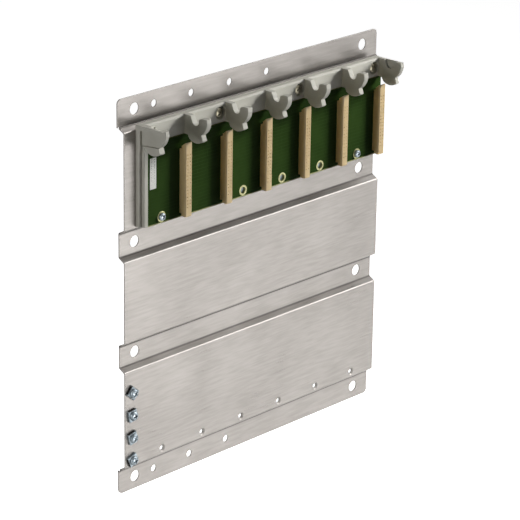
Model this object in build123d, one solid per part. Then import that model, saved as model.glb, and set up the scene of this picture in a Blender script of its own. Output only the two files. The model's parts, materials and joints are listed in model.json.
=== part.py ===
from build123d import *
import math
import os

# A six-slot backplane rack for plug-in control modules, built piece by piece, in millimetres.
# The wall plane is y = 0 and the rack stands forward of it toward -Y. +X is to the right seen from
# the front and +Z is up. The origin is the centre of the pattern of mounting holes. A depth is
# measured forward from the wall plane, so a face at depth d lies at y = -d.

# Slots: each slot lies between two hooks
slot_count = 6
slot_pitch = 40.5
first_slot_inset = 53.0
last_slot_inset = 9.5

# Folded sheet: flanges on the wall plane and three bands raised forward of them
sheet_gauge = 1.0
bend_radius = 0.5
band_rise = 5.2
band_run = 2.9
top_flange = 19.8
upper_band = 75.7
upper_gap = 17.1
middle_band = 65.7
lower_gap = 15.8
lower_band = 77.9
bottom_flange = 18.0
corner_radius = 3.5
edge_setback = 1.4
relief_radius = 0.8

# Holes in the sheet
mount_hole = 8.4
mount_side_inset = 15.9
mount_edge_inset = 9.25
upper_row_drop = 8.8
lower_row_drop = 7.4
small_hole = 5.2
small_hole_inset = 34.5
small_hole_steps = (36.0, 38.0, 38.0)
top_hole_count = 4
bottom_hole_count = 3
module_hole_offset = -15.1
module_hole_rise = 4.6
lead_in = 0.75
collar_wall = 0.8
collar_length = 1.0

# Screw threads, drawn smooth, with the gap between a screw and what it goes through
large_thread = 4.0
small_thread = 3.0
thread_gap = 0.1
pass_gap = 0.5

# How far a cut runs past the face that it opens
cut_over = 1.0

# Moulded bracket: strip, leg and the ledge behind the board
bracket_inset = 11.9
bracket_rise = 1.3
strip_height = 13.9
strip_thickness = 5.9
strip_bevel_height = 6.9
strip_bevel_depth = 0.7
strip_edge = 1.2
leg_step_width = 2.1
leg_step_thickness = 3.8
leg_rib_width = 3.1
leg_rib_thickness = 6.6
leg_lift = 0.5
ledge_width = 4.4
pocket_wall = 2.0
pocket_depth = 3.4
pin_mark = 1.6
pin_mark_depth = 2.0
pin_mark_inset = 12.2
pin_mark_drop = 3.8
peg_size = 2.5
peg_head = 4.2
peg_head_height = 0.6
peg_gap = 0.1
peg_offset = 9.5

# Hooks: thicknesses along X, then the outline, forward of the strip and down from its top
hook_thickness = 4.2
first_wall = 2.2
first_blade = 2.6
last_blade = 1.8
last_wall = 1.4
hook_root = 1.5
rear_horn = 5.4
notch_width = 8.5
notch_depth = 6.0
notch_side = 4.2
notch_rear_lean = 2.1
notch_front_lean = 0.7
front_horn = 7.5
crown_drop = 1.1
crown_length = 3.5
crown_swell = 0.37
nose_lean = 0.5
nose_drop = 3.0
cheek_reach = 19.8
cheek_drop = 7.9
undercut_reach = 15.9
undercut_drop = 12.0
tooth_reach = 17.4
tooth_drop = 16.1
belly_reach = 10.9
belly_drop = 18.6
heel_reach = 4.5
heel_drop = 16.5
throat_reach = 2.9
throat_drop = 14.0
recess_depth = 1.8
recess_top_drop = 3.4
recess_floor_drop = 14.1
recess_floor_rise = 1.8
recess_inset = 1.6
recess_arch_reach = 10.5
recess_arch_drop = 2.4
recess_end_rise = 0.8

# Bracket screws in counterbores, each beside a hook
bracket_screw_offset = -5.1
bracket_screw_drop = 6.8
counterbore = 9.4
counterbore_floor = 2.8
bracket_head = 8.0
bracket_head_height = 2.6
bracket_screw_length = 7.0

# Circuit board
board_gap = 4.3
board_thickness = 1.6
board_edge_gap = 0.2
board_bottom_margin = 0.8
board_right_margin = 0.5
board_corner = 1.0
board_hole_offset = -22.1
board_hole_rise = 4.6
open_bore = 5.0
ring_size = 7.6
ring_thickness = 0.1
board_head = 5.8
board_head_height = 2.3
board_screw_length = 5.5
post_size = 6.5
post_foot = 4.2
post_bore_depth = 4.0

# Label on the board
label_inset = 2.4
label_width = 5.9
label_height = 22.3
label_drop = 10.6
label_thickness = 0.15

# Plug connectors and their contact pins
connector_offset = -4.8
connector_width = 7.1
connector_depth = 5.65
connector_bottom_margin = 0.9
connector_top_margin = 4.7
connector_bevel = 0.9
foot_depth = 2.0
foot_top_inset = 4.7
foot_bottom_inset = 2.4
tab_rise = 2.5
tab_lip = 0.35
toe_drop = 0.6
contact_rows = 2
contact_pitch = 2.54
contact_end_wall = 3.5
contact_size = 0.64
cavity_size = 0.8
contact_recess = 0.4

# Ground terminals on the lowest band
ground_count = 4
ground_pitch = 17.0
ground_inset = 7.6
ground_rise = 5.3
washer_size = 8.0
washer_gauge = 0.9
washer_stand = 1.3
washer_bend = 1.0
washer_turns = (50.0, 8.0, 14.0, 112.0)
ground_head = 7.0
ground_head_height = 2.4
ground_screw_length = 7.0

# Cross recess of a screw, as shares of its head
recess_span = 0.56
recess_slot = 0.15
recess_sink = 0.5
head_bevel = 0.4

# Places along X
sheet_width = first_slot_inset + slot_pitch * (slot_count - 1) + last_slot_inset
sheet_left = -sheet_width / 2
sheet_right = sheet_width / 2
slot_lines = [sheet_left + first_slot_inset + slot_pitch * i for i in range(slot_count)]
bracket_left = sheet_left + bracket_inset
bracket_right = slot_lines[-1] + last_blade + last_wall
leg_right = bracket_left + leg_step_width + leg_rib_width
board_left = leg_right + board_edge_gap
board_right = slot_lines[-1] + connector_offset + connector_width + board_right_margin

# Places along Z
sheet_height = sum((top_flange, upper_band, upper_gap, middle_band, lower_gap, lower_band, bottom_flange))
sheet_top = sheet_height / 2
upper_band_top = sheet_top - top_flange
upper_band_bottom = upper_band_top - upper_band
middle_band_top = upper_band_bottom - upper_gap
middle_band_bottom = middle_band_top - middle_band
lower_band_top = middle_band_bottom - lower_gap
lower_band_bottom = lower_band_top - lower_band
bands = (
    (upper_band_top, upper_band_bottom),
    (middle_band_top, middle_band_bottom),
    (lower_band_top, lower_band_bottom),
)
bracket_top = upper_band_top + bracket_rise
strip_bottom = bracket_top - strip_height
board_top = strip_bottom - board_edge_gap
board_bottom = upper_band_bottom + band_run + board_bottom_margin
board_hole_z = board_bottom + board_hole_rise
connector_bottom = board_bottom + connector_bottom_margin
connector_top = board_top - connector_top_margin
module_hole_z = lower_band_bottom + band_run + module_hole_rise
mount_rows = (
    sheet_top - mount_edge_inset,
    upper_band_bottom - upper_row_drop,
    middle_band_bottom - lower_row_drop,
    -sheet_top + mount_edge_inset,
)

# Depths forward of the wall
band_back = band_rise
band_face = band_rise + sheet_gauge
board_back = band_face + board_gap
board_face = board_back + board_thickness
strip_face = band_face + strip_thickness
connector_face = board_face + connector_depth

thread_bore = large_thread + thread_gap
bracket_screw_lines = slot_lines[1::2]
bracket_screw_z = bracket_top - bracket_screw_drop
peg_lines = [line + peg_offset for line in slot_lines[::2]]
peg_z = strip_bottom - ledge_width / 2
ground_x = sheet_left + ground_inset
ground_rows = [lower_band_bottom + band_run + ground_rise + ground_pitch * i for i in range(ground_count)]
screwed_lines = [slot_lines[0] + board_hole_offset, slot_lines[-1] + board_hole_offset]
open_lines = [line + board_hole_offset for line in slot_lines[2:-1]]


def facing(x, z, depth):
    """A frame at (x, z) on the plane at this depth, whose own Z points forward, away from the wall."""
    return Plane(origin=(x, -depth, z), x_dir=(1, 0, 0), z_dir=(0, -1, 0))


def forward_slab(sketch, back, front):
    """A front-view sketch made solid between two depths."""
    return extrude(facing(0, 0, back) * sketch, amount=front - back)


def side_slab(face, left, right):
    """A side-view face, drawn as (depth, height), made solid between two places along X."""
    side = Plane(origin=(right, 0, 0), x_dir=(0, -1, 0), z_dir=(-1, 0, 0))
    return extrude(side * face, amount=right - left)


def span(left, right, bottom, top):
    """A front-view rectangle given by its four edges."""
    return Pos((left + right) / 2, (bottom + top) / 2) * Rectangle(right - left, top - bottom)


def dots(places, diameter):
    """Round holes or bosses at front-view places."""
    return Sketch() + [Pos(x, z) * Circle(diameter / 2) for x, z in places]


def sheet_line(flange_depth, band_depth, shift, flange_radius, band_radius):
    """One face of the folded sheet, from the top edge to the bottom edge, with its bends rounded."""
    points = [(flange_depth, sheet_top)]
    radii = []
    for top, bottom in bands:
        points += [
            (flange_depth, top - shift),
            (band_depth, top - band_run - shift),
            (band_depth, bottom + band_run + shift),
            (flange_depth, bottom + shift),
        ]
        radii += [flange_radius, band_radius, band_radius, flange_radius]
    points.append((flange_depth, -sheet_top))
    return FilletPolyline(*points, radius=radii)


def small_row(count, z):
    """Places of a row of spare holes, counted from the left."""
    return [(sheet_left + small_hole_inset + sum(small_hole_steps[:i]), z) for i in range(count)]


def make_sheet():
    """The folded sheet: its bent section, cut to the outline of the blank, with every hole."""
    step_angle = math.atan2(band_rise, band_run)
    shift = sheet_gauge * math.tan(step_angle / 2)
    outer_radius = bend_radius + sheet_gauge
    front = sheet_line(sheet_gauge, band_face, 0, bend_radius, outer_radius)
    back = sheet_line(0, band_back, shift, outer_radius, bend_radius)
    top_edge = Line(front @ 0, back @ 0)
    bottom_edge = Line(front @ 1, back @ 1)
    section = make_face(Curve() + [front, back, top_edge, bottom_edge])
    folded = side_slab(section, sheet_left, sheet_right)
    mounts = [
        (side * (sheet_right - mount_side_inset), z)
        for side in (-1, 1)
        for z in mount_rows
    ]
    smalls = small_row(top_hole_count, mount_rows[0]) + small_row(bottom_hole_count, mount_rows[-1])
    modules = [(line + module_hole_offset, module_hole_z) for line in slot_lines]
    brackets = [(line + bracket_screw_offset, bracket_screw_z) for line in bracket_screw_lines]
    grounds = [(ground_x, z) for z in ground_rows]
    threaded = modules + brackets + grounds
    edge = sheet_left + edge_setback
    blank = RectangleRounded(sheet_width, sheet_height, corner_radius)
    blank -= span(sheet_left - cut_over, edge, lower_band_bottom, upper_band_top)
    blank -= dots([(edge, lower_band_bottom), (edge, upper_band_top)], 2 * relief_radius)
    blank -= dots(mounts, mount_hole)
    blank -= dots(smalls, small_hole)
    blank -= dots([(x, board_hole_z) for x in screwed_lines + open_lines], post_foot)
    sheet = folded & forward_slab(blank, -cut_over, band_face + cut_over)
    collar = thread_bore + 2 * collar_wall
    sheet += forward_slab(dots(threaded, collar), band_back - collar_length, band_back)
    sheet -= forward_slab(dots(threaded, thread_bore), 0, band_face + cut_over)
    below = (Align.CENTER, Align.CENTER, Align.MAX)
    mouth = Cone(thread_bore / 2, thread_bore / 2 + lead_in, lead_in, align=below)
    for x, z in modules:
        sheet -= facing(x, z, band_face) * mouth
    return sheet


def hook_outline(notched):
    """Side view of a hook: horns round a notch on top, a nose, an undercut and a tooth below."""
    horn = strip_face + rear_horn
    notch_end = horn + notch_width
    tip = notch_end + front_horn
    root = strip_face - hook_root
    top_front = (tip - nose_lean, bracket_top)
    if notched:
        left_foot = (horn + notch_rear_lean, bracket_top - notch_side)
        right_foot = (notch_end - notch_front_lean, bracket_top - notch_side)
        middle = ((left_foot[0] + right_foot[0]) / 2, bracket_top - notch_depth)
        crown_start = (notch_end, bracket_top - crown_drop)
        crown_middle = (notch_end + crown_length / 2 - crown_swell / 2, bracket_top - crown_swell)
        crown_end = (notch_end + crown_length, bracket_top)
        crest = [
            Polyline((root, bracket_top), (horn, bracket_top), left_foot),
            ThreePointArc(left_foot, middle, right_foot),
            Line(right_foot, crown_start),
            ThreePointArc(crown_start, crown_middle, crown_end),
            Line(crown_end, top_front),
        ]
    else:
        crest = [Line((root, bracket_top), top_front)]
    nose = (tip, bracket_top - nose_drop)
    cheek = (strip_face + cheek_reach, bracket_top - cheek_drop)
    undercut = (strip_face + undercut_reach, bracket_top - undercut_drop)
    tooth = (strip_face + tooth_reach, bracket_top - tooth_drop)
    belly = (strip_face + belly_reach, bracket_top - belly_drop)
    heel = (strip_face + heel_reach, bracket_top - heel_drop)
    throat = (strip_face + throat_reach, bracket_top - throat_drop)
    chin = [
        Line(top_front, nose),
        ThreePointArc(nose, cheek, undercut),
        Line(undercut, tooth),
        ThreePointArc(tooth, belly, heel),
        Polyline(heel, throat, (root, strip_bottom), (root, bracket_top)),
    ]
    return make_face(Curve() + crest + chin)


def make_bracket():
    """The moulding: strip, leg and ledge, the hooks, and the cuts for screws and coring."""
    bevel_top = strip_bottom + strip_bevel_height
    bevel_depth = strip_face - strip_bevel_depth
    strip = make_face(
        Polyline(
            (band_face, bracket_top),
            (strip_face - strip_edge, bracket_top),
            (strip_face, bracket_top - strip_edge),
            (strip_face, bevel_top),
            (bevel_depth, strip_bottom),
            (board_back, strip_bottom),
            (board_back, strip_bottom - ledge_width),
            (band_face, strip_bottom - ledge_width),
            close=True,
        )
    )
    body = side_slab(strip, bracket_left, bracket_right)
    step_right = bracket_left + leg_step_width
    leg_bottom = board_bottom + leg_lift
    body += forward_slab(
        span(bracket_left, step_right, leg_bottom, bracket_top), band_face, band_face + leg_step_thickness
    )
    body += forward_slab(
        span(step_right, leg_right, leg_bottom, strip_bottom), band_face, band_face + leg_rib_thickness
    )
    body += forward_slab(
        span(leg_right, leg_right + ledge_width, leg_bottom, strip_bottom), band_face, board_back
    )
    open_face = hook_outline(True)
    closed_face = hook_outline(False)
    first_inner = bracket_left + first_wall
    body += side_slab(closed_face, bracket_left, first_inner)
    body += side_slab(open_face, first_inner, first_inner + first_blade)
    for line in slot_lines[:-1]:
        body += side_slab(open_face, line, line + hook_thickness)
    last = slot_lines[-1]
    body += side_slab(open_face, last, last + last_blade)
    body += side_slab(closed_face, last + last_blade, bracket_right)
    pegs = [(x, peg_z) for x in peg_lines]
    body += forward_slab(dots(pegs, peg_size), board_back, board_face + peg_head_height)
    body += forward_slab(dots(pegs, peg_head), board_face, board_face + peg_head_height)
    tip = strip_face + rear_horn + notch_width + front_horn
    recess_back = strip_face - recess_inset
    floor = bracket_top - recess_floor_drop
    undercut = strip_face + undercut_reach
    recess_front = tip + cut_over
    recess_start = (recess_back, bracket_top - recess_top_drop)
    arch = (strip_face + recess_arch_reach, bracket_top - recess_arch_drop)
    recess_end = (recess_front, bracket_top + recess_end_rise)
    recess = make_face(
        Curve()
        + [
            ThreePointArc(recess_start, arch, recess_end),
            Polyline(
                recess_end,
                (recess_front, floor + recess_floor_rise),
                (undercut, floor + recess_floor_rise),
                (recess_back, floor),
                recess_start,
            ),
        ]
    )
    body -= side_slab(recess, bracket_left - cut_over, bracket_left + recess_depth)
    screws = [(line + bracket_screw_offset, bracket_screw_z) for line in bracket_screw_lines]
    beyond = strip_face + cut_over
    body -= forward_slab(dots(screws, large_thread + pass_gap), band_face - cut_over, beyond)
    body -= forward_slab(dots(screws, counterbore), band_face + counterbore_floor, beyond)
    mark = [(bracket_left + pin_mark_inset, bracket_top - pin_mark_drop)]
    body -= forward_slab(dots(mark, pin_mark), strip_face - pin_mark_depth, beyond)
    left_faces = [first_inner + first_blade] + [line + hook_thickness for line in slot_lines[:-1]]
    reach = counterbore / 2 - bracket_screw_offset + pocket_wall
    for left, line in zip(left_faces, slot_lines):
        pocket = span(left + pocket_wall, line - reach, strip_bottom + pocket_wall, bracket_top - pocket_wall)
        body -= forward_slab(pocket, band_face - cut_over, band_face + pocket_depth)
    return body


def contact_grid(line, size):
    """Front-view squares at the contact places of the connector at one slot line."""
    centre_x = line + connector_offset + connector_width / 2
    low = connector_bottom + foot_bottom_inset + contact_end_wall
    high = connector_top - foot_top_inset - contact_end_wall
    count = math.floor((high - low) / contact_pitch) + 1
    grid = GridLocations(contact_pitch, contact_pitch, contact_rows, count)
    return Pos(centre_x, (low + high) / 2) * (Sketch() + [place * Rectangle(size, size) for place in grid])


def make_connector(line):
    """A plug housing: a foot on the board and a longer front body, with a cavity for each contact."""
    foot_face = board_face + foot_depth
    foot_top = connector_top - foot_top_inset
    foot_bottom = connector_bottom + foot_bottom_inset
    outline = make_face(
        Polyline(
            (board_face, foot_bottom),
            (board_face, foot_top),
            (foot_face, foot_top),
            (foot_face, connector_top - tab_rise),
            (connector_face - tab_lip, connector_top),
            (connector_face, connector_top),
            (connector_face, connector_bottom),
            (foot_face, connector_bottom + toe_drop),
            (foot_face, foot_bottom),
            close=True,
        )
    )
    left = line + connector_offset
    housing = side_slab(outline, left, left + connector_width)
    long_edges = housing.edges().filter_by(Axis.Z).group_by(Axis.Y)[0]
    housing = chamfer(long_edges, connector_bevel)
    cavities = contact_grid(line, cavity_size)
    return housing - forward_slab(cavities, board_face - cut_over, connector_face + cut_over)


def make_contacts(line):
    """The pins of one connector, from the board's face to just inside the housing's face."""
    pins = contact_grid(line, contact_size)
    return forward_slab(pins, board_face, connector_face - contact_recess)


def make_board():
    """The circuit board with its screw holes, open holes and peg holes."""
    outline = span(board_left, board_right, board_bottom, board_top)
    outline = fillet(outline.vertices(), board_corner)
    outline -= dots([(x, board_hole_z) for x in screwed_lines], small_thread + pass_gap)
    outline -= dots([(x, board_hole_z) for x in open_lines], open_bore)
    outline -= dots([(x, peg_z) for x in peg_lines], peg_size + peg_gap)
    return forward_slab(outline, board_back, board_face)


def make_rings():
    """A plated ring on the board's face round each of its five holes."""
    rings = dots([(x, board_hole_z) for x in screwed_lines + open_lines], ring_size)
    rings -= dots([(x, board_hole_z) for x in screwed_lines], small_thread + pass_gap)
    rings -= dots([(x, board_hole_z) for x in open_lines], open_bore)
    return forward_slab(rings, board_face, board_face + ring_thickness)


def make_label():
    """The sticker near the board's left edge."""
    left = board_left + label_inset
    top = board_top - label_drop
    sticker = span(left, left + label_width, top - label_height, top)
    return forward_slab(sticker, board_face, board_face + label_thickness)


def make_post(threaded):
    """A post with its foot clinched in the sheet, with or without a bore for a screw."""
    post = Cylinder(post_size / 2, board_gap, align=(Align.CENTER, Align.CENTER, Align.MIN))
    post += Cylinder(post_foot / 2, sheet_gauge, align=(Align.CENTER, Align.CENTER, Align.MAX))
    if threaded:
        bore = Cylinder(
            (small_thread + thread_gap) / 2, post_bore_depth, align=(Align.CENTER, Align.CENTER, Align.MAX)
        )
        post -= Pos(0, 0, board_gap) * bore
    return post


def make_screw(thread, length, head, head_height):
    """A pan-head screw with a cross recess, its head seated on the local origin plane."""
    screw = Cylinder(head / 2, head_height, align=(Align.CENTER, Align.CENTER, Align.MIN))
    screw = chamfer(screw.edges().sort_by(Axis.Z)[-1], head_height * head_bevel)
    screw += Cylinder(thread / 2, length, align=(Align.CENTER, Align.CENTER, Align.MAX))
    slot = head * recess_slot
    cross = Rectangle(head * recess_span, slot) + Rectangle(slot, head * recess_span)
    return screw - Pos(0, 0, head_height) * extrude(cross, amount=-head_height * recess_sink)


def make_washer():
    """A square clamp washer with two opposite edges bent back to stand on the sheet."""
    height = washer_stand + washer_gauge
    inner = washer_size / 2 - washer_gauge
    outer = washer_size / 2
    inner_radius = washer_bend - washer_gauge
    section = Pos(0, height / 2) * Rectangle(washer_size, height)
    section = fillet(section.vertices().group_by(Axis.Y)[-1], washer_bend)
    hollow = Pos(0, washer_stand / 2) * Rectangle(2 * inner, washer_stand)
    section -= fillet(hollow.vertices().group_by(Axis.Y)[-1], inner_radius)
    saddle = extrude(Plane.XZ.offset(-outer) * section, amount=washer_size)
    bore = Cylinder((large_thread + pass_gap) / 2, 2 * (height + cut_over))
    return saddle - bore


def save(name, shape):
    """Write one piece to its own file."""
    shape.label = name
    export_step(shape, f"parts/{name}.step")


os.makedirs("parts", exist_ok=True)
save("backplane_sheet", make_sheet())
save("hook_bracket", make_bracket())
save("circuit_board", make_board())
save("plated_rings", make_rings())
save("board_label", make_label())
for number, line in enumerate(slot_lines, 1):
    save(f"connector_{number}", make_connector(line))
    save(f"contacts_{number}", make_contacts(line))
for number, x in enumerate(screwed_lines, 1):
    screw = make_screw(small_thread, board_screw_length, board_head, board_head_height)
    save(f"board_screw_{number}", facing(x, board_hole_z, board_face + ring_thickness) * screw)
for number, x in enumerate(sorted(screwed_lines + open_lines), 1):
    save(f"standoff_{number}", facing(x, board_hole_z, band_face) * make_post(x in screwed_lines))
for number, line in enumerate(bracket_screw_lines, 1):
    screw = make_screw(large_thread, bracket_screw_length, bracket_head, bracket_head_height)
    place = facing(line + bracket_screw_offset, bracket_screw_z, band_face + counterbore_floor)
    save(f"bracket_screw_{number}", place * screw)
for number, (z, turn) in enumerate(zip(reversed(ground_rows), washer_turns), 1):
    washer = facing(ground_x, z, band_face) * (Rot(0, 0, turn) * make_washer())
    save(f"clamp_washer_{number}", washer)
    screw = make_screw(large_thread, ground_screw_length, ground_head, ground_head_height)
    save(f"ground_screw_{number}", facing(ground_x, z, band_face + washer_stand + washer_gauge) * screw)
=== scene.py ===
"""Looks of a six-slot backplane rack for plug-in control modules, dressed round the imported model."""

import json
import math

import bpy
import numpy as np
from mathutils import Matrix, Vector


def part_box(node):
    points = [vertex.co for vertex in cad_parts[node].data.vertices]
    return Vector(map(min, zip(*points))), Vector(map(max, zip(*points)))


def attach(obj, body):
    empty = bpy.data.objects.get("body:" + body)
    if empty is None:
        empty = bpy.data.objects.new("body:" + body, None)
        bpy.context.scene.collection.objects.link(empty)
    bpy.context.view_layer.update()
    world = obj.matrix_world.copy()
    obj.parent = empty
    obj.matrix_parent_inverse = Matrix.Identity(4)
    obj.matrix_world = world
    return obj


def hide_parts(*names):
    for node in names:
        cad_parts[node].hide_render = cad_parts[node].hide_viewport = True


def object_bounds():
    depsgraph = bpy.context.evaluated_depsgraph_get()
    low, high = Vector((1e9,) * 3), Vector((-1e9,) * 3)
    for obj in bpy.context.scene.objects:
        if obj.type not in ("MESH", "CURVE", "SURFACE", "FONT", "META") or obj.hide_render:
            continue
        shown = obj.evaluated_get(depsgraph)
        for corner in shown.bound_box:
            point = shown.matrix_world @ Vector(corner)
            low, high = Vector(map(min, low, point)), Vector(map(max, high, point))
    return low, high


MM = 0.001
WHITE = (1.0, 1.0, 1.0, 1.0)

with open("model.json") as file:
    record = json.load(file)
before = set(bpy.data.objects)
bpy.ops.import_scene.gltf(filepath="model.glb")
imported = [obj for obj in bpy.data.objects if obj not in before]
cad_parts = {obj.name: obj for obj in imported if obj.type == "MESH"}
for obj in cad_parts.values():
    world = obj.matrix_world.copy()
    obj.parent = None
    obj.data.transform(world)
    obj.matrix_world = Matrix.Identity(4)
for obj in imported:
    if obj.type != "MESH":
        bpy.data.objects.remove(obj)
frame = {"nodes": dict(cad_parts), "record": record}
nodes = frame["nodes"]
cad_low, cad_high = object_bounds()


# Camera

CAMERA_AZIMUTH = math.radians(47.07)
CAMERA_ELEVATION = math.radians(20.05)
CAMERA_ROLL = math.radians(0.87)
CAMERA_DISTANCE = 1.96104
CAMERA_TARGET = Vector((0.01111, 0.0, -0.00594))
SENSOR_WIDTH = 36.0
LENS_PER_FRAME_WIDTH = 2704.95 / 520


def place_camera():
    """The camera looks along a line of sight set by its azimuth and elevation, then rolls about that line."""
    level = math.cos(CAMERA_ELEVATION)
    sight = Vector(
        (math.sin(CAMERA_AZIMUTH) * level, math.cos(CAMERA_AZIMUTH) * level, -math.sin(CAMERA_ELEVATION))
    )
    right = Vector((math.cos(CAMERA_AZIMUTH), -math.sin(CAMERA_AZIMUTH), 0.0))
    up = right.cross(sight)
    turned_right = right * math.cos(CAMERA_ROLL) + up * math.sin(CAMERA_ROLL)
    turned_up = up * math.cos(CAMERA_ROLL) - right * math.sin(CAMERA_ROLL)
    data = bpy.data.cameras.new("rack_camera")
    data.sensor_width = SENSOR_WIDTH
    data.lens = LENS_PER_FRAME_WIDTH * SENSOR_WIDTH
    camera = bpy.data.objects.new("rack_camera", data)
    bpy.context.scene.collection.objects.link(camera)
    place = Matrix((turned_right, turned_up, -sight)).transposed().to_4x4()
    place.translation = CAMERA_TARGET - sight * CAMERA_DISTANCE
    camera.matrix_world = place
    bpy.context.scene.camera = camera


# Lamps: name, place, width in metres, power in watts, and the surfaces that it lights. The key gives
# the shadows, and the cards give the steel its tone without filling those shadows

LAMPS = (
    ("key_softbox", (1.533, -0.715, 0.616), 0.45, 47.0, "matt"),
    ("key_card", (1.494, -0.794, 0.616), 0.9, 14.0, "gloss"),
    ("left_softbox", (-1.493, 0.052, 0.131), 0.5, 5.6, "matt and gloss"),
    ("front_card", (0.203, -1.441, -0.363), 0.6, 17.0, "gloss"),
    ("low_card", (0.596, -1.277, -0.513), 0.6, 0.5, "gloss"),
    ("side_card", (0.92, -1.177, -0.131), 0.6, 2.0, "gloss"),
    ("top_card", (1.0, -0.75, 1.295), 0.9, 16.0, "gloss"),
)
ROOM_STRENGTH = 0.03
FLOOR_COLOUR = (0.86, 0.86, 0.85, 1.0)
FLOOR_DROP = 0.46
FLOOR_REACH = 9.0
FLOOR_GLOW = 0.93


def add_lamp(name, place, width, power, lights):
    """A square soft lamp at a place, turned to face the rack, that lights matt surfaces, gloss or both."""
    data = bpy.data.lights.new(name, "AREA")
    data.shape = "SQUARE"
    data.size = width
    data.energy = power
    lamp = bpy.data.objects.new(name, data)
    lamp.location = place
    lamp.rotation_mode = "QUATERNION"
    lamp.rotation_quaternion = (-Vector(place)).to_track_quat("-Z", "Y")
    lamp.visible_diffuse = "matt" in lights
    lamp.visible_glossy = "gloss" in lights
    bpy.context.scene.collection.objects.link(lamp)


def seen_rays(tree):
    """1 for the rays that see the backdrop: the camera's own, and those off gloss or through glass."""
    path = tree.nodes.new("ShaderNodeLightPath")
    total = path.outputs["Is Camera Ray"]
    for kind in ("Is Glossy Ray", "Is Transmission Ray"):
        either = tree.nodes.new("ShaderNodeMath")
        either.operation = "MAXIMUM"
        tree.links.new(total, either.inputs[0])
        tree.links.new(path.outputs[kind], either.inputs[1])
        total = either.outputs["Value"]
    return total


def light_studio():
    """A white backdrop that the camera and all gloss see, a dim even room for matt surfaces, and the lamps."""
    world = bpy.data.worlds.new("studio")
    bpy.context.scene.world = world
    world.use_nodes = True
    tree = world.node_tree
    tree.nodes.clear()
    room = tree.nodes.new("ShaderNodeBackground")
    room.inputs["Color"].default_value = WHITE
    room.inputs["Strength"].default_value = ROOM_STRENGTH
    backdrop = tree.nodes.new("ShaderNodeBackground")
    backdrop.inputs["Color"].default_value = WHITE
    mix = tree.nodes.new("ShaderNodeMixShader")
    out = tree.nodes.new("ShaderNodeOutputWorld")
    tree.links.new(seen_rays(tree), mix.inputs["Fac"])
    tree.links.new(room.outputs["Background"], mix.inputs[1])
    tree.links.new(backdrop.outputs["Background"], mix.inputs[2])
    tree.links.new(mix.outputs["Shader"], out.inputs["Surface"])
    for lamp in LAMPS:
        add_lamp(*lamp)


def lay_floor():
    """A plain white floor well below the rack, that glows to the rays that see it.

    It takes the rack's shadow, but throws no light back up into the shade on the board.
    """
    height = cad_low.z - FLOOR_DROP
    mesh = bpy.data.meshes.new("floor")
    ends = (-FLOOR_REACH, FLOOR_REACH)
    mesh.from_pydata([(x, y, height) for y in ends for x in ends], [], [(0, 1, 3, 2)])
    floor = bpy.data.objects.new("floor", mesh)
    bpy.context.scene.collection.objects.link(floor)
    material = bpy.data.materials.new("floor_white")
    material.use_nodes = True
    tree = material.node_tree
    tree.nodes.clear()
    matte = tree.nodes.new("ShaderNodeBsdfDiffuse")
    matte.inputs["Color"].default_value = FLOOR_COLOUR
    glow = tree.nodes.new("ShaderNodeEmission")
    seen = tree.nodes.new("ShaderNodeMath")
    seen.operation = "MULTIPLY"
    seen.inputs[1].default_value = FLOOR_GLOW
    both = tree.nodes.new("ShaderNodeAddShader")
    out = tree.nodes.new("ShaderNodeOutputMaterial")
    tree.links.new(seen_rays(tree), seen.inputs[0])
    tree.links.new(seen.outputs["Value"], glow.inputs["Strength"])
    tree.links.new(matte.outputs["BSDF"], both.inputs[0])
    tree.links.new(glow.outputs["Emission"], both.inputs[1])
    tree.links.new(both.outputs["Shader"], out.inputs["Surface"])
    mesh.materials.append(material)
    floor.visible_diffuse = False


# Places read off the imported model

label_low, label_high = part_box("board_label")
board_low, board_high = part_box("circuit_board")
ring_low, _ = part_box("plated_rings")

# Painted shade in the inner bends of the sheet, where light doesn't reach: the height of each bend, and how far
# its dark line reaches up and down

FOLD_VALLEYS = [(height * MM, 0.7 * MM) for height in (125.2, 32.4, -49.1)]
FOLD_VALLEYS += [(height * MM, 1.5 * MM) for height in (49.5, -33.3, -127.0)]
VALLEY_CORE = 0.3
VALLEY_DARKNESS = 0.8

# Board: tracks drawn as a brick pattern, and the pale strip of bare laminate along its lower edge

TRACK_WIDTH = 0.25 * MM
TRACK_SOFTNESS = 0.3
TRACK_LENGTH = 19.0 * MM
TRACK_PITCH = 2.54 * MM
TRACK_SHIFT_ROWS = 3
BARE_EDGE = 0.7 * MM
BARE_EDGE_BLUR = 0.1 * MM

# Label: lines of print to the metre, how faint they are at its foot, and the half width they fill

PRINT_LINES = 620.0
PRINT_FOOT_STRENGTH = 0.15
PRINT_HALF_WIDTH = 2.1 * MM
PRINT_EDGE_BLUR = 0.2 * MM


# Materials. Patterns read Object coordinates, which are metres in the rack's own frame


def tone(red, green, blue):
    """A colour written as screen values from 0 to 255, turned into linear light."""
    screen = np.array((red, green, blue)) / 255
    linear = np.where(screen <= 0.04045, screen / 12.92, ((screen + 0.055) / 1.055) ** 2.4)
    return (*linear.tolist(), 1.0)


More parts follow.
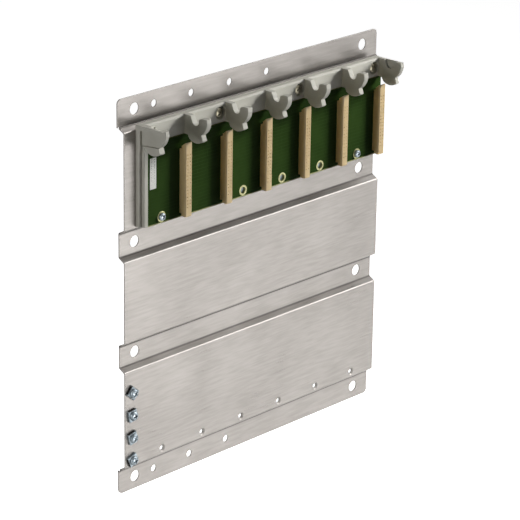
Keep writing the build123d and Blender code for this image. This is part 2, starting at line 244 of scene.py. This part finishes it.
class Finish:
    """One surface finish: a principled shader, and the pattern nodes that feed it."""

    def __init__(self, name, metallic=0.0, **sockets):
        self.material = bpy.data.materials.new(name)
        self.material.use_nodes = True
        self.tree = self.material.node_tree
        self.shader = self.tree.nodes["Principled BSDF"]
        self.shader.inputs["Metallic"].default_value = metallic
        for socket, value in sockets.items():
            self.shader.inputs[socket.replace("_", " ")].default_value = value
        self.coords = self.tree.nodes.new("ShaderNodeTexCoord").outputs["Object"]

    def node(self, kind, **settings):
        made = self.tree.nodes.new(kind)
        for key, value in settings.items():
            setattr(made, key, value)
        return made

    def feed(self, socket, value):
        """A socket given a plain value, or linked to another node's output."""
        if isinstance(value, (float, tuple)):
            socket.default_value = value
        else:
            self.tree.links.new(value, socket)

    def mapped(self, **settings):
        """Object coordinates scaled or turned."""
        mapping = self.node("ShaderNodeMapping")
        self.feed(mapping.inputs["Vector"], self.coords)
        for socket, value in settings.items():
            self.feed(mapping.inputs[socket], value)
        return mapping.outputs["Vector"]

    def cloud(self, blobs, detail=2.0, roughness=0.5):
        """Soft noise with this many blobs to the metre: one number, or one for each axis."""
        noise = self.node("ShaderNodeTexNoise")
        stretched = isinstance(blobs, tuple)
        self.feed(noise.inputs["Vector"], self.mapped(Scale=blobs) if stretched else self.coords)
        self.feed(noise.inputs["Scale"], 1.0 if stretched else blobs)
        self.feed(noise.inputs["Detail"], detail)
        self.feed(noise.inputs["Roughness"], roughness)
        return noise.outputs["Fac"]

    def ranged(self, value, low, high, start=0.3, end=0.7, smooth=False):
        """A pattern's value from start to end made to run from low to high."""
        ranger = self.node("ShaderNodeMapRange", interpolation_type="SMOOTHSTEP" if smooth else "LINEAR")
        for socket, number in (("From Min", start), ("From Max", end), ("To Min", low), ("To Max", high)):
            self.feed(ranger.inputs[socket], number)
        self.feed(ranger.inputs["Value"], value)
        return ranger.outputs["Result"]

    def maths(self, operation, *values):
        """One or two values put through an operation."""
        made = self.node("ShaderNodeMath", operation=operation)
        for socket, value in zip(made.inputs, values):
            self.feed(socket, value)
        return made.outputs["Value"]

    def blended(self, factor, first, second):
        """A colour between two, each a plain colour or another pattern's colour."""
        mix = self.node("ShaderNodeMix", data_type="RGBA")
        self.feed(mix.inputs["Factor"], factor)
        colours = [socket for socket in mix.inputs if socket.type == "RGBA"]
        for socket, value in zip(colours, (first, second)):
            self.feed(socket, value)
        return next(socket for socket in mix.outputs if socket.type == "RGBA")

    def mottled(self, pattern, first, second):
        """A colour that a pattern varies all the way between two."""
        return self.blended(self.ranged(pattern, 0.0, 1.0), first, second)

    def facing(self, axis):
        """How squarely the surface faces along one axis, either way, from 0 to 1."""
        geometry = self.node("ShaderNodeNewGeometry")
        split = self.node("ShaderNodeSeparateXYZ")
        self.feed(split.inputs["Vector"], geometry.outputs["True Normal"])
        return self.maths("ABSOLUTE", split.outputs[axis])

    def along(self, axis):
        """The place along one axis, in metres."""
        split = self.node("ShaderNodeSeparateXYZ")
        self.feed(split.inputs["Vector"], self.coords)
        return split.outputs[axis]

    def away(self, axis, place):
        """The distance along one axis from a place, in metres."""
        return self.maths("ABSOLUTE", self.maths("SUBTRACT", self.along(axis), place))

    def colour(self, value):
        self.feed(self.shader.inputs["Base Color"], value)

    def roughness(self, value):
        self.feed(self.shader.inputs["Roughness"], value)

    def relief(self, height, depth, strength, edge=None):
        """Fine relief from a pattern's height, over edges that look rounded by this radius."""
        bump = self.node("ShaderNodeBump")
        self.feed(bump.inputs["Distance"], depth)
        self.feed(bump.inputs["Strength"], strength)
        self.feed(bump.inputs["Height"], height)
        if edge:
            rounding = self.node("ShaderNodeBevel", samples=4)
            self.feed(rounding.inputs["Radius"], edge)
            self.feed(bump.inputs["Normal"], rounding.outputs["Normal"])
        self.feed(self.shader.inputs["Normal"], bump.outputs["Normal"])


def brushed_sheet():
    """Rolled steel: fine lines along the sheet, faint clouds in tone and gloss, and painted shade along the
    inner bends.
    """
    steel = Finish("sheet_steel_brushed", metallic=0.92)
    lines = steel.cloud((25.0, 900.0, 1400.0), detail=3.0, roughness=0.6)
    streaks = steel.cloud((60.0, 500.0, 560.0))
    clouds = steel.cloud(22.0)
    grain = steel.ranged(lines, -0.12, 0.12)
    bands = steel.ranged(streaks, -0.2, 0.2)
    blotches = steel.ranged(clouds, 0.1, 0.45)
    shade = steel.maths("ADD", steel.maths("ADD", grain, bands), blotches)
    light = steel.ranged(shade, 0.0, 1.0, start=-0.25, end=0.8)
    metal = steel.blended(light, tone(124, 120, 116), tone(147, 143, 139))
    # Painted shade: a dark line along each inner bend of the sheet, added up over all the bends
    painted_fold_shade = 0.0
    for valley, reach in FOLD_VALLEYS:
        gap = steel.away("Z", valley)
        line = steel.ranged(gap, VALLEY_DARKNESS, 0.0, start=VALLEY_CORE * reach, end=reach, smooth=True)
        painted_fold_shade = steel.maths("ADD", line, painted_fold_shade)
    # The painted shade blends the steel towards this dark colour in the bends
    steel.colour(steel.blended(painted_fold_shade, metal, tone(52, 50, 47)))
    steel.roughness(steel.maths("ADD", steel.ranged(lines, 0.29, 0.37), steel.ranged(clouds, -0.03, 0.03)))
    steel.relief(lines, 0.03 * MM, 0.04, edge=0.45 * MM)
    return steel.material


def moulded_grey():
    """Glass-filled grey plastic with a fine moulded grain."""
    plastic = Finish("bracket_plastic_grey", IOR=1.46)
    grain = plastic.cloud(2600.0, roughness=0.6)
    flow = plastic.cloud((30.0, 60.0, 84.0), detail=3.0, roughness=0.55)
    plastic.colour(plastic.mottled(flow, tone(188, 186, 174), tone(203, 201, 190)))
    plastic.roughness(plastic.ranged(grain, 0.48, 0.62))
    plastic.relief(grain, 0.04 * MM, 0.4, edge=0.35 * MM)
    return plastic.material


def solder_mask():
    """Green lacquer over faint copper tracks, with bare laminate at the cut edge and along the foot."""
    board = Finish("board_green_lacquer", Specular_IOR_Level=0.01)
    brick = board.node("ShaderNodeTexBrick", offset_frequency=TRACK_SHIFT_ROWS)
    board.feed(brick.inputs["Vector"], board.mapped(Rotation=(math.radians(90.0), 0.0, 0.0)))
    sizes = (
        ("Scale", 1.0),
        ("Mortar Size", TRACK_WIDTH),
        ("Mortar Smooth", TRACK_SOFTNESS),
        ("Brick Width", TRACK_LENGTH),
        ("Row Height", TRACK_PITCH),
    )
    for socket, size in sizes:
        board.feed(brick.inputs[socket], size)
    tracks = brick.outputs["Fac"]
    weave = board.cloud(900.0)
    ground = board.mottled(board.cloud(45.0), tone(41, 62, 24), tone(51, 74, 31))
    face = board.blended(tracks, ground, tone(50, 74, 32))
    bare_top = board_low.z + BARE_EDGE
    foot = board.ranged(board.along("Z"), 1.0, 0.0, start=bare_top, end=bare_top + BARE_EDGE_BLUR)
    face = board.blended(foot, face, tone(168, 170, 118))
    flat = board.ranged(board.facing("Y"), 0.0, 1.0, start=0.5, end=0.7)
    board.colour(board.blended(flat, tone(132, 132, 82), face))
    board.roughness(board.ranged(weave, 0.36, 0.48))
    board.relief(board.maths("ADD", tracks, board.maths("MULTIPLY", weave, 0.3)), 0.05 * MM, 0.15)
    return board.material


def moulded_beige():
    """Beige connector plastic with flow marks and a satin skin."""
    beige = Finish("connector_beige_plastic", IOR=1.5)
    flow = beige.cloud((140.0, 140.0, 24.5), detail=3.0, roughness=0.55)
    grain = beige.cloud(2200.0)
    beige.colour(beige.mottled(flow, tone(205, 176, 124), tone(221, 196, 145)))
    beige.roughness(beige.ranged(grain, 0.4, 0.52))
    beige.relief(grain, 0.03 * MM, 0.3, edge=0.2 * MM)
    return beige.material


def plated_brass():
    """Contact pins in bright brass, a little dulled in patches."""
    brass = Finish("contact_brass_pin", metallic=1.0)
    patches = brass.cloud(500.0)
    brass.colour(brass.mottled(patches, tone(196, 164, 92), tone(222, 192, 120)))
    brass.roughness(brass.ranged(patches, 0.22, 0.36))
    return brass.material


def gold_flash():
    """The rings round the board's holes: pale gold flash over copper."""
    gold = Finish("plated_ring_gold", metallic=0.8)
    patches = gold.cloud(700.0, detail=3.0, roughness=0.6)
    gold.colour(gold.mottled(patches, tone(120, 119, 82), tone(168, 165, 124)))
    gold.roughness(gold.ranged(patches, 0.28, 0.42))
    gold.relief(patches, 0.02 * MM, 0.4)
    return gold.material


def label_paper():
    """A white paper label with grey lines of print up its length, too small to read and faint at its foot."""
    paper = Finish("label_white_paper", Roughness=0.7)
    lines = paper.maths("FRACT", paper.maths("MULTIPLY", paper.along("X"), PRINT_LINES))
    lines = paper.ranged(lines, 0.0, 1.0, start=0.45, end=0.6)
    fade = paper.ranged(paper.along("Z"), PRINT_FOOT_STRENGTH, 1.0, start=label_low.z, end=label_high.z)
    marks = paper.ranged(paper.cloud((500.0, 1.0, 1900.0)), 0.0, 1.0, start=0.48, end=0.56)
    middle = paper.away("X", (label_low.x + label_high.x) / 2)
    inside = paper.ranged(middle, 1.0, 0.0, start=PRINT_HALF_WIDTH, end=PRINT_HALF_WIDTH + PRINT_EDGE_BLUR)
    ink = lines
    for share in (fade, marks, inside):
        ink = paper.maths("MULTIPLY", ink, share)
    paper.colour(paper.blended(ink, tone(246, 247, 241), tone(112, 114, 110)))
    return paper.material


def zinc_plate():
    """Bright zinc on screws and washers, with a faint blue cast and fine scratches."""
    zinc = Finish("zinc_plate_blue", metallic=1.0)
    patches = zinc.cloud(450.0, detail=3.0, roughness=0.6)
    scratches = zinc.cloud((5200.0, 900.0, 2600.0))
    zinc.colour(zinc.mottled(patches, tone(88, 98, 104), tone(146, 154, 159)))
    zinc.roughness(zinc.ranged(scratches, 0.24, 0.4))
    zinc.relief(scratches, 0.02 * MM, 0.4, edge=0.12 * MM)
    return zinc.material


def black_screw():
    """Dark oxide on the bracket screws, rubbed a little brighter in patches."""
    dark = Finish("bracket_screw_dark", metallic=0.7)
    patches = dark.cloud(800.0, detail=3.0, roughness=0.6)
    dark.colour(dark.mottled(patches, tone(92, 88, 74), tone(134, 129, 110)))
    dark.roughness(dark.ranged(patches, 0.32, 0.5))
    dark.relief(patches, 0.03 * MM, 0.4, edge=0.12 * MM)
    return dark.material


FINISHES = {
    "sheet_steel": brushed_sheet(),
    "bracket_plastic": moulded_grey(),
    "board_green": solder_mask(),
    "connector_beige": moulded_beige(),
    "contact_brass": plated_brass(),
    "plated_gold": gold_flash(),
    "label_white": label_paper(),
    "zinc_plate": zinc_plate(),
    "dark_screw": black_screw(),
}


def dress_nodes():
    """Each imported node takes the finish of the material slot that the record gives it."""
    for part in frame["record"]["subparts"]:
        node = nodes[part["node"]]
        for slot in node.material_slots:
            slot.material = FINISHES[part["material_slot"]]


# New pieces. Each is a surface worked out on a grid: one direction runs along a profile, the other
# round an axis that points forward, out of the wall

ROUND_STEPS = 64
CORNER_STEPS = 4
THREAD_STEPS = 6
DOME_STEPS = 14
RECESS_STEPS = 4
SHARP_ANGLE = math.radians(32.0)

# Threads: diameter and pitch, and how deep the groove is as a share of the pitch

LARGE_THREAD = (4.0 * MM, 0.7 * MM)
SMALL_THREAD = (3.0 * MM, 0.5 * MM)
THREAD_DEPTH_SHARE = 0.54

# Screw heads: the dome's curve, then the cross recess as shares of the head's radius and height

DOME_POWER = 2.7
DOME_SWEEP = 0.36 * math.pi
BLEND_START = 0.5
ARM_REACH = 0.58
ARM_HALF_WIDTH = 0.14
RECESS_TAPER = 0.78
RECESS_DEPTH = 0.55
TIP_SHARE = 0.1
SCREW_TURN = 2.4

# Kind, how many, thread, head height and material slot

SCREWS = (
    ("board_screw", 2, SMALL_THREAD, 2.3 * MM, "zinc_plate"),
    ("bracket_screw", 3, LARGE_THREAD, 2.6 * MM, "dark_screw"),
    ("ground_screw", 4, LARGE_THREAD, 2.4 * MM, "zinc_plate"),
)

# Liners: how far forward of the wall the tapped holes start and end, and the board's open holes,
# which stand in front of the second to fourth standoffs

TAPPED_BACK = 4.2 * MM
TAPPED_FRONT = 5.45 * MM
OPEN_HOLE_STANDOFFS = (2, 3, 4)
OPEN_BORE = 5.0 * MM
BARREL_WALL = 0.06 * MM
BEDDING = 0.03 * MM


def thread_wave(height, angle, pitch):
    """A thread's rise, 0 at the root and 1 at the crest: a triangle wave that climbs one pitch a turn."""
    phase = np.mod(height / pitch - angle / (2 * math.pi), 1.0)
    return 1.0 - np.abs(2.0 * phase - 1.0)


def thread_heights(start, end, pitch):
    """Heights along a thread as a column, with a set number of rows to each pitch."""
    return np.linspace(start, end, math.ceil(abs(end - start) / pitch * THREAD_STEPS) + 1)[:, None]


def skin(name, profile, angles, centre, slot, ring=False):
    """A closed skin from a profile, whose parts are pairs of grids: radius r and height h, at each angle a.

    A point stands at centre + (r cos a, -h, r sin a). With ring the last row joins the first, else
    each end row is closed by a fan round its middle.
    """
    parts = [np.broadcast_arrays(radius, height, angles) for radius, height in profile]
    radii, heights, turns = (np.concatenate(grids) for grids in zip(*parts))
    grid = np.stack((radii * np.cos(turns), -heights, radii * np.sin(turns)), axis=-1) + np.array(centre)
    rows, columns = radii.shape
    number = np.arange(rows * columns).reshape(rows, columns)
    above = np.roll(number, -1, axis=0)
    if not ring:
        number, above = number[:-1], above[:-1]
    corners = (number, np.roll(number, -1, axis=1), np.roll(above, -1, axis=1), above)
    faces = np.stack(corners, axis=-1).reshape(-1, 4).tolist()
    points = grid.reshape(-1, 3)
    if not ring:
        first, last = number[0], above[-1]
        tip = np.full(columns, len(points))
        points = np.concatenate((points, grid[[0, -1]].mean(axis=1)))
        faces += np.stack((tip, np.roll(first, -1), first), axis=-1).tolist()
        faces += np.stack((tip + 1, last, np.roll(last, -1)), axis=-1).tolist()
    mesh = bpy.data.meshes.new(name)
    mesh.from_pydata(points.tolist(), [], faces)
    mesh.shade_smooth()
    mesh.set_sharp_from_angle(angle=SHARP_ANGLE)
    mesh.materials.append(FINISHES[slot])
    piece = bpy.data.objects.new(name, mesh)
    bpy.context.scene.collection.objects.link(piece)
    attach(piece, "root")
    return piece


def pan_screw(node, thread, head_height, slot, turn):
    """A pan-head screw with a cross recess and a cut thread, at the place and size of a packed screw.

    With h up the axis from under the head and a round it, the shank is r = R - d (1 - wave(h, a)).
    The head, of radius H and height T, is h = T (1 - (r / H)^p)^(1 / p). The cross has the edge
    r = min(L / cos b, w / sin b), where b is a folded into 0..45 degrees, and its walls lean inward.
    """
    low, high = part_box(node)
    size, pitch = thread
    thread_depth = THREAD_DEPTH_SHARE * pitch
    head_radius = (high.x - low.x) / 2
    seat = low.y + head_height
    length = high.y - seat
    reach, half_width = head_radius * ARM_REACH, head_radius * ARM_HALF_WIDTH
    corner = math.atan2(half_width, reach)
    stops = (0.0, corner, math.pi / 4, math.pi / 2 - corner, math.pi / 2)
    quarter = [np.linspace(start, end, CORNER_STEPS, endpoint=False) for start, end in zip(stops, stops[1:])]
    angles = np.add.outer(np.arange(4) * math.pi / 2, np.concatenate(quarter)).reshape(1, -1)
    folded = np.mod(angles, math.pi / 2)
    folded = np.minimum(folded, math.pi / 2 - folded)
    edge = np.minimum(reach / np.cos(folded), half_width / np.sin(np.maximum(folded, corner / 2)))

    shank_heights = thread_heights(-length, 0.0, pitch)
    lead = np.clip((shank_heights + length) / pitch, 0.0, 1.0)
    shank = size / 2 - thread_depth * (1 - lead * thread_wave(shank_heights, angles, pitch))
    sweep = np.linspace(0.0, 1.0, DOME_STEPS)[:, None]
    blend = np.clip((sweep - BLEND_START) / (1 - BLEND_START), 0.0, 1.0) ** 2
    dome = head_radius * np.cos(sweep * DOME_SWEEP) ** (2 / DOME_POWER) * (1 - blend) + edge * blend
    dome_heights = head_height * (1 - (dome / head_radius) ** DOME_POWER) ** (1 / DOME_POWER)
    into = np.linspace(0.0, 1.0, RECESS_STEPS)[1:, None]
    floor_height = head_height * (1 - RECESS_DEPTH)
    wall = edge * (1 - (1 - RECESS_TAPER) * into)
    wall_heights = dome_heights[-1] + (floor_height - dome_heights[-1]) * into
    floor = wall[-1] * (1 - (1 - TIP_SHARE) * into)
    profile = ((shank, shank_heights), (dome, dome_heights), (wall, wall_heights), (floor, floor_height))
    centre = ((low.x + high.x) / 2, seat, (low.z + high.z) / 2)
    piece = skin(f"{node}_threaded", profile, angles + turn, centre, slot)
    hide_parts(node)


def lined_hole(name, x, z, back, front, radius, wall, slot, pitch=None):
    """A thin liner bedded in a hole between two depths: r = R - t wave(h, a) inside, or R - t with no pitch."""
    angles = np.linspace(0.0, 2 * math.pi, ROUND_STEPS, endpoint=False)[None, :]
    heights = thread_heights(front, back, pitch) if pitch else np.array(((front,), (back,)))
    inner = radius - wall * (thread_wave(heights, angles, pitch) if pitch else 1.0)
    outside = np.array(((back,), (front,)))
    skin(name, ((radius + BEDDING, outside), (inner, heights)), angles, (x, 0.0, z), slot, ring=True)


def add_screws():
    """Every packed screw drawn again with its thread, domed head and cross recess."""
    for kind, count, thread, head_height, slot in SCREWS:
        for number in range(1, count + 1):
            pan_screw(f"{kind}_{number}", thread, head_height, slot, SCREW_TURN * number)


def add_liners():
    """Threads in the module screw holes, and the plating that lines the open holes in the board."""
    pairs = [mount for mount in frame["record"]["mounts"] if mount["name"].startswith("module_screw_holes")]
    places = sorted(
        (pair["pos_m"][0] + side * pair["dims"]["spacing_x_mm"] / 2 * MM, pair["pos_m"][2])
        for pair in pairs
        for side in (-1, 1)
    )
    bore = pairs[0]["dims"]["hole_r_mm"] * MM
    pitch = LARGE_THREAD[1]
    wall = THREAD_DEPTH_SHARE * pitch
    for number, (x, z) in enumerate(places, 1):
        name = f"module_hole_thread_{number}"
        lined_hole(name, x, z, TAPPED_BACK, TAPPED_FRONT, bore, wall, "sheet_steel", pitch)
    for number, standoff in enumerate(OPEN_HOLE_STANDOFFS, 1):
        low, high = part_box(f"standoff_{standoff}")
        x, z = (low.x + high.x) / 2, (low.z + high.z) / 2
        name = f"board_hole_plating_{number}"
        lined_hole(name, x, z, -board_high.y, -ring_low.y, OPEN_BORE / 2, BARREL_WALL, "plated_gold")


place_camera()
light_studio()
lay_floor()
dress_nodes()
add_screws()
add_liners()

view = bpy.context.scene.view_settings
view.view_transform = "Standard"
